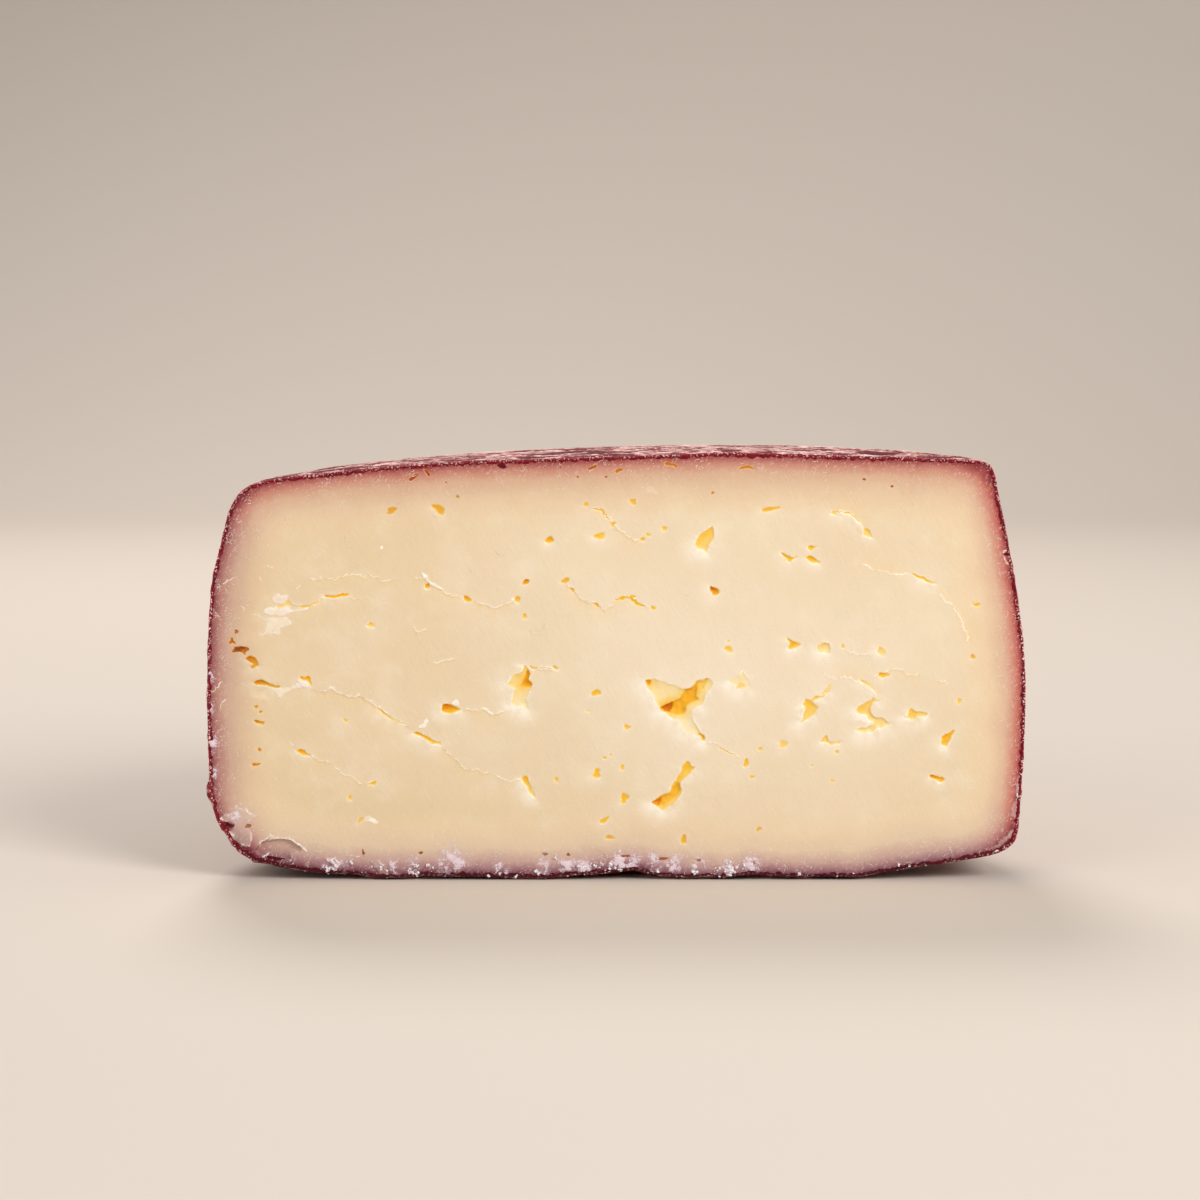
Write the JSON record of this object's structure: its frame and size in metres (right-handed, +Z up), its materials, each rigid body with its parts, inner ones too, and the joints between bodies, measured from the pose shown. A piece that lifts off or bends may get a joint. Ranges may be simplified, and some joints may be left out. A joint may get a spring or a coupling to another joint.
{
  "type": "wine-soaked goat cheese, half wheel",
  "caption": "Half wheel of wine-soaked goat cheese with a dark purple rind, cut face to the front, pale paste with small eyes and fine cracks.",
  "frame": {"origin": "bottom centre of the outer box, on the surface that the cheese stands on", "axes": "+Z up out of the foot, +X along the cut to the right of someone looking at the cut face, -Y out of the cut face"},
  "size_m": [0.1798, 0.0901, 0.0944],
  "materials": {
    "paste": "soft, slightly waxy cut face",
    "rind": "wrinkled dark purple rind with a pale bloom"
  },
  "bodies": {
    "root": {"cheese": "paste"}
  },
  "joints": []
}
